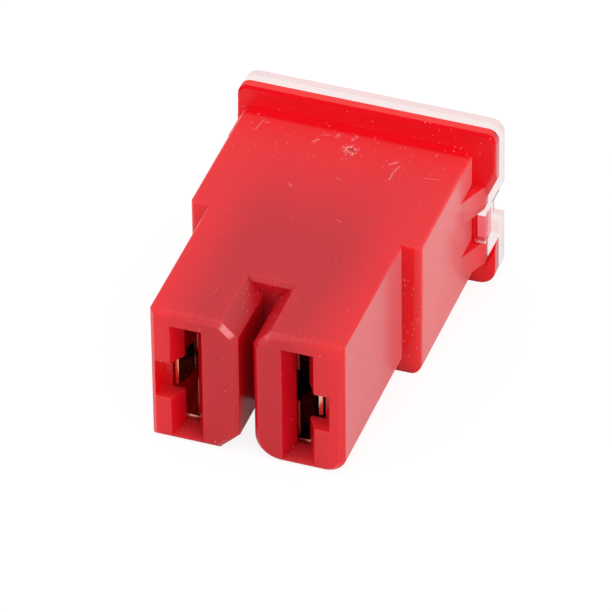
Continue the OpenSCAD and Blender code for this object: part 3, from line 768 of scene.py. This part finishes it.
def copper_alloy(settings):
    """Rolled copper alloy with fine streaks along the strip and bright sheared edges. Its faces
    are darkened as painted shade, with patches of tarnish, and its sides towards the gap are
    painted darker still as shade."""
    finish = Finish("copper_alloy")
    x = finish.split(finish.place)["X"]
    from_gap = finish.size(finish.math("SUBTRACT", x, GAP_MIDDLE))
    outward = finish.ramp(from_gap, 3.5 * MM, 4.3 * MM)
    streaks = finish.noise(0.12 * MM, detail=4, roughness=0.6,
                           place=finish.moved(stretch=(1, 0.06, 1)))
    tarnish = finish.ramp(finish.noise(1.3 * MM, detail=3), 0.4, 0.7)
    # Painted shade: darkened faces, with patches of tarnish.
    face = finish.blend(
        tarnish, colour(settings.shaded_face_colour), colour(scaled(settings.shaded_face_colour, 0.7)))
    slope = finish.split(finish.normal)
    upright = finish.ramp(finish.size(slope["Z"]), 0.5, 0.8)
    forward = finish.ramp(slope["Y"], -0.6, -0.9)
    fresh = finish.blend(finish.most(upright, forward), face, colour(settings.colour))
    # Painted shade on the strip towards the gap.
    painted_shade = colour(settings.gap_side_shade_colour)
    finish.set(Base_Color=finish.blend(outward, painted_shade, fresh), Metallic=1.0)
    finish.set(Roughness=finish.ramp(streaks, 0.3, 0.7, 0.2, 0.34))
    finish.set(Normal=finish.bump(streaks, 0.004 * MM, 0.5))
    return finish.material


def dull_tin(settings):
    """Cast tin: matt, with a soft frosty grain."""
    finish = Finish("dull_tin")
    frost = finish.noise(0.15 * MM, detail=4, roughness=0.6)
    tone = finish.blend(
        frost, colour(scaled(settings.colour, 0.85)), colour(scaled(settings.colour, 1.1)))
    finish.set(Base_Color=tone, Metallic=1.0)
    finish.set(Roughness=finish.ramp(frost, 0.3, 0.7, 0.38, 0.52))
    finish.set(Normal=finish.bump(frost, 0.01 * MM, 0.5))
    return finish.material


# ------------------------------------------------------------------ operators


class FUSE_OT_housing(Operator):
    """Build the red moulded housing"""

    bl_idname = "fuse.housing"
    bl_label = "Housing"

    def execute(self, context):
        settings = context.scene.fuse.housing
        bm = merged_copy("housing")
        round_edges(bm, free_rim(bm), settings.rim_edge, RIM_STEPS)
        edges = [edge for edge in outer_creases(bm) if not tight_corner(edge)]
        round_edges(bm, edges, settings.edge, settings.edge_steps)
        roughen_gate(bm, settings.gate)
        add_piece(bm, "moulded_housing", "housing", housing_plastic(settings))
        return {"FINISHED"}


class FUSE_OT_cover(Operator):
    """Build the clear cover with its two snap arms"""

    bl_idname = "fuse.cover"
    bl_label = "Clear cover"

    def execute(self, context):
        settings = context.scene.fuse.cover
        bm = merged_copy("cover", COVER_WELD)
        round_edges(bm, around_level(bm, COVER_HIGH.y), settings.rim_edge, RIM_STEPS)
        edges = [edge for edge in all_creases(bm) if not in_seam(edge)]
        round_edges(bm, edges, settings.edge, PLAIN_STEPS)
        add_piece(bm, "clear_cover", "cover", clear_plastic(settings))
        return {"FINISHED"}


class FUSE_OT_element(Operator):
    """Build the copper-alloy fuse element with its two terminals"""

    bl_idname = "fuse.element"
    bl_label = "Fuse element"

    def execute(self, context):
        settings = context.scene.fuse.element
        bm = merged_copy("fuse_element")
        round_edges(bm, all_creases(bm), settings.edge, SHEET_STEPS)
        add_piece(bm, "copper_element", "fuse_element", copper_alloy(settings))
        return {"FINISHED"}


class FUSE_OT_pellet(Operator):
    """Build the tin pellet on the link"""

    bl_idname = "fuse.pellet"
    bl_label = "Tin pellet"

    def execute(self, context):
        settings = context.scene.fuse.pellet
        bm = merged_copy("tin_pellet")
        round_edges(bm, outer_creases(bm), settings.edge, PLAIN_STEPS)
        add_piece(bm, "cast_pellet", "tin_pellet", dull_tin(settings))
        return {"FINISHED"}


FLOOR_REACH = 600 * MM          # from the middle of the floor to its edges
FLOOR_DROP = 0.01 * MM          # gap between the floor and the fuse
FLOOR_GREY = 0.20               # colour of the floor where the camera sees it
FLOOR_GLOW = 0.86               # light that it gives of itself there
FLOOR_MIRRORED = 0.18           # light that it gives in reflections
SENSOR = 36                     # width of the camera's sensor, in millimetres
SOFTBOX_DISTANCE = 400 * MM
# Each softbox: its name, direction and size, and the setting for its light.
SOFTBOXES = (
    ("top_softbox", (0.1, 0.1, 1), 400 * MM, "top_light"),
    ("front_softbox", (0.2, -1, 0.5), 300 * MM, "front_light"),
    ("left_softbox", (-1, -0.5, 0.6), 300 * MM, "side_light"),
    ("right_softbox", (1, -0.5, 0.6), 300 * MM, "side_light"),
)


def add_camera(settings, centre):
    turned = Vector((math.sin(settings.azimuth), -math.cos(settings.azimuth), 0))
    towards = turned * math.cos(settings.elevation) + Vector((0, 0, math.sin(settings.elevation)))
    data = bpy.data.cameras.new("camera")
    data.sensor_width = SENSOR
    data.lens = settings.lens
    data.clip_start = settings.distance / 50
    data.clip_end = settings.distance * 50
    camera = bpy.data.objects.new("camera", data)
    bpy.context.scene.collection.objects.link(camera)
    aimed = towards.to_track_quat("Z", "Y").to_matrix().to_4x4()
    spot = Matrix.Translation(centre + Vector(settings.aim) + towards * settings.distance)
    camera.matrix_world = spot @ aimed @ Matrix.Rotation(settings.roll, 4, "Z")
    bpy.context.scene.camera = camera


def add_softbox(name, direction, size, light, centre):
    """A square softbox. Light is how bright it makes white paper that faces it."""
    data = bpy.data.lights.new(name, "AREA")
    data.size = size
    data.energy = light * math.pi ** 2 * SOFTBOX_DISTANCE ** 2
    lamp = bpy.data.objects.new(name, data)
    bpy.context.scene.collection.objects.link(lamp)
    towards = Vector(direction).normalized()
    aimed = towards.to_track_quat("Z", "Y").to_matrix().to_4x4()
    lamp.matrix_world = Matrix.Translation(centre + towards * SOFTBOX_DISTANCE) @ aimed


def add_floor(low):
    mesh = bpy.data.meshes.new("floor")
    bm = bmesh.new()
    bmesh.ops.create_grid(bm, x_segments=1, y_segments=1, size=FLOOR_REACH)
    bmesh.ops.translate(bm, vec=(0, 0, low - FLOOR_DROP), verts=bm.verts)
    bm.to_mesh(mesh)
    bm.free()
    floor = bpy.data.objects.new("floor", mesh)
    bpy.context.scene.collection.objects.link(floor)
    floor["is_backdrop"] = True

    finish = Finish("floor_white")
    path = finish.add("ShaderNodeLightPath")
    seen = finish.most(path.outputs["Is Camera Ray"], path.outputs["Is Transmission Ray"])
    mirrored = finish.product(path.outputs["Is Glossy Ray"], FLOOR_MIRRORED)
    paper = finish.blend(finish.noise(3 * MM), grey(0.80), grey(0.82))
    shown = finish.blend(seen, paper, grey(FLOOR_GREY))
    finish.set(Base_Color=shown, Roughness=0.9, Specular_IOR_Level=0.0)
    finish.set(Emission_Color=grey(1),
               Emission_Strength=finish.most(finish.product(seen, FLOOR_GLOW), mirrored))
    mesh.materials.append(finish.material)


def add_sky(settings):
    world = bpy.data.worlds.new("studio")
    world.use_nodes = True
    tree = world.node_tree
    background = tree.nodes["Background"]
    background.inputs["Color"].default_value = grey(1)
    path = tree.nodes.new("ShaderNodeLightPath")
    seen = path.outputs["Is Camera Ray"]
    for name in ("Is Glossy Ray", "Is Transmission Ray"):
        largest = tree.nodes.new("ShaderNodeMath")
        largest.operation = "MAXIMUM"
        tree.links.new(seen, largest.inputs[0])
        tree.links.new(path.outputs[name], largest.inputs[1])
        seen = largest.outputs[0]
    strength = tree.nodes.new("ShaderNodeMapRange")
    strength.inputs["To Min"].default_value = settings.sky
    strength.inputs["To Max"].default_value = 1.0
    tree.links.new(seen, strength.inputs["Value"])
    tree.links.new(strength.outputs["Result"], background.inputs["Strength"])
    bpy.context.scene.world = world


class FUSE_OT_stage(Operator):
    """Set up the camera, the floor, the sky and the softboxes"""

    bl_idname = "fuse.stage"
    bl_label = "Studio"

    def execute(self, context):
        settings = context.scene.fuse.stage
        centre = (CAD_LOW + CAD_HIGH) / 2
        add_camera(settings, centre)
        add_floor(CAD_LOW.z)
        add_sky(settings)
        for name, direction, size, light in SOFTBOXES:
            add_softbox(name, direction, size, getattr(settings, light), centre)
        context.scene.view_settings.view_transform = "Standard"
        return {"FINISHED"}


# ------------------------------------------------------------------ interface

OPERATORS = (FUSE_OT_housing, FUSE_OT_cover, FUSE_OT_element, FUSE_OT_pellet, FUSE_OT_stage)


class FUSE_PT_panel(Panel):
    """Lists the pieces of the fuse and their sizes and colours"""

    bl_idname = "FUSE_PT_panel"
    bl_label = "Cartridge Fuse"
    bl_space_type = "VIEW_3D"
    bl_region_type = "UI"
    bl_category = "Fuse"

    def draw(self, context):
        for operator in OPERATORS:
            box = self.layout.box()
            box.operator(operator.bl_idname)
            settings = getattr(context.scene.fuse, operator.bl_idname.split(".")[1])
            for name in type(settings).__annotations__:
                box.prop(settings, name)


CLASSES = (
    HousingSettings, CoverSettings, ElementSettings, PelletSettings, StageSettings, FuseSettings,
    *OPERATORS, FUSE_PT_panel,
)


def register():
    for cls in CLASSES:
        bpy.utils.register_class(cls)
    bpy.types.Scene.fuse = PointerProperty(type=FuseSettings)


def unregister():
    del bpy.types.Scene.fuse
    for cls in reversed(CLASSES):
        bpy.utils.unregister_class(cls)


def main():
    register()
    bpy.ops.fuse.housing()
    bpy.ops.fuse.cover()
    bpy.ops.fuse.element()
    bpy.ops.fuse.pellet()
    bpy.ops.fuse.stage()
    bpy.context.view_layer.update()


if __name__ == "__main__":
    main()
